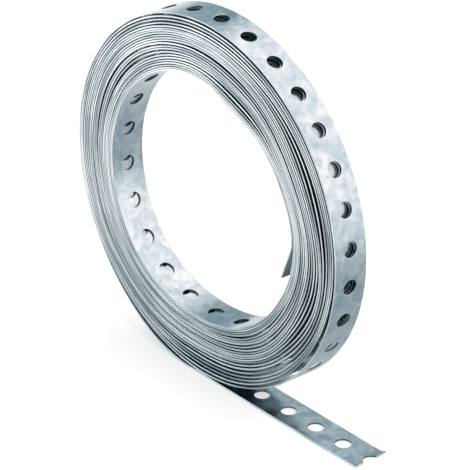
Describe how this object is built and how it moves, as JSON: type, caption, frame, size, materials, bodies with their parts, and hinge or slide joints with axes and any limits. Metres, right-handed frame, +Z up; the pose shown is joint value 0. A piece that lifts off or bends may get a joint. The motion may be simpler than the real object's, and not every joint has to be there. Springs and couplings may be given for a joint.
{
  "type": "perforated metal strap",
  "caption": "Coil of galvanised punched steel strap standing on its rim, with a short flat tail sheared through a hole.",
  "frame": {"origin": "on the floor under the coil's middle, half way across the strap, on the underside of the flat tail", "axes": "+Z up, +Y along the coil's axis (across the strap), +X the way the flat tail leaves the coil"},
  "size_m": [0.1834, 0.017, 0.1676],
  "materials": {
    "galvanised_steel": "satin"
  },
  "bodies": {
    "root": {"strap": "galvanised_steel"}
  },
  "joints": []
}
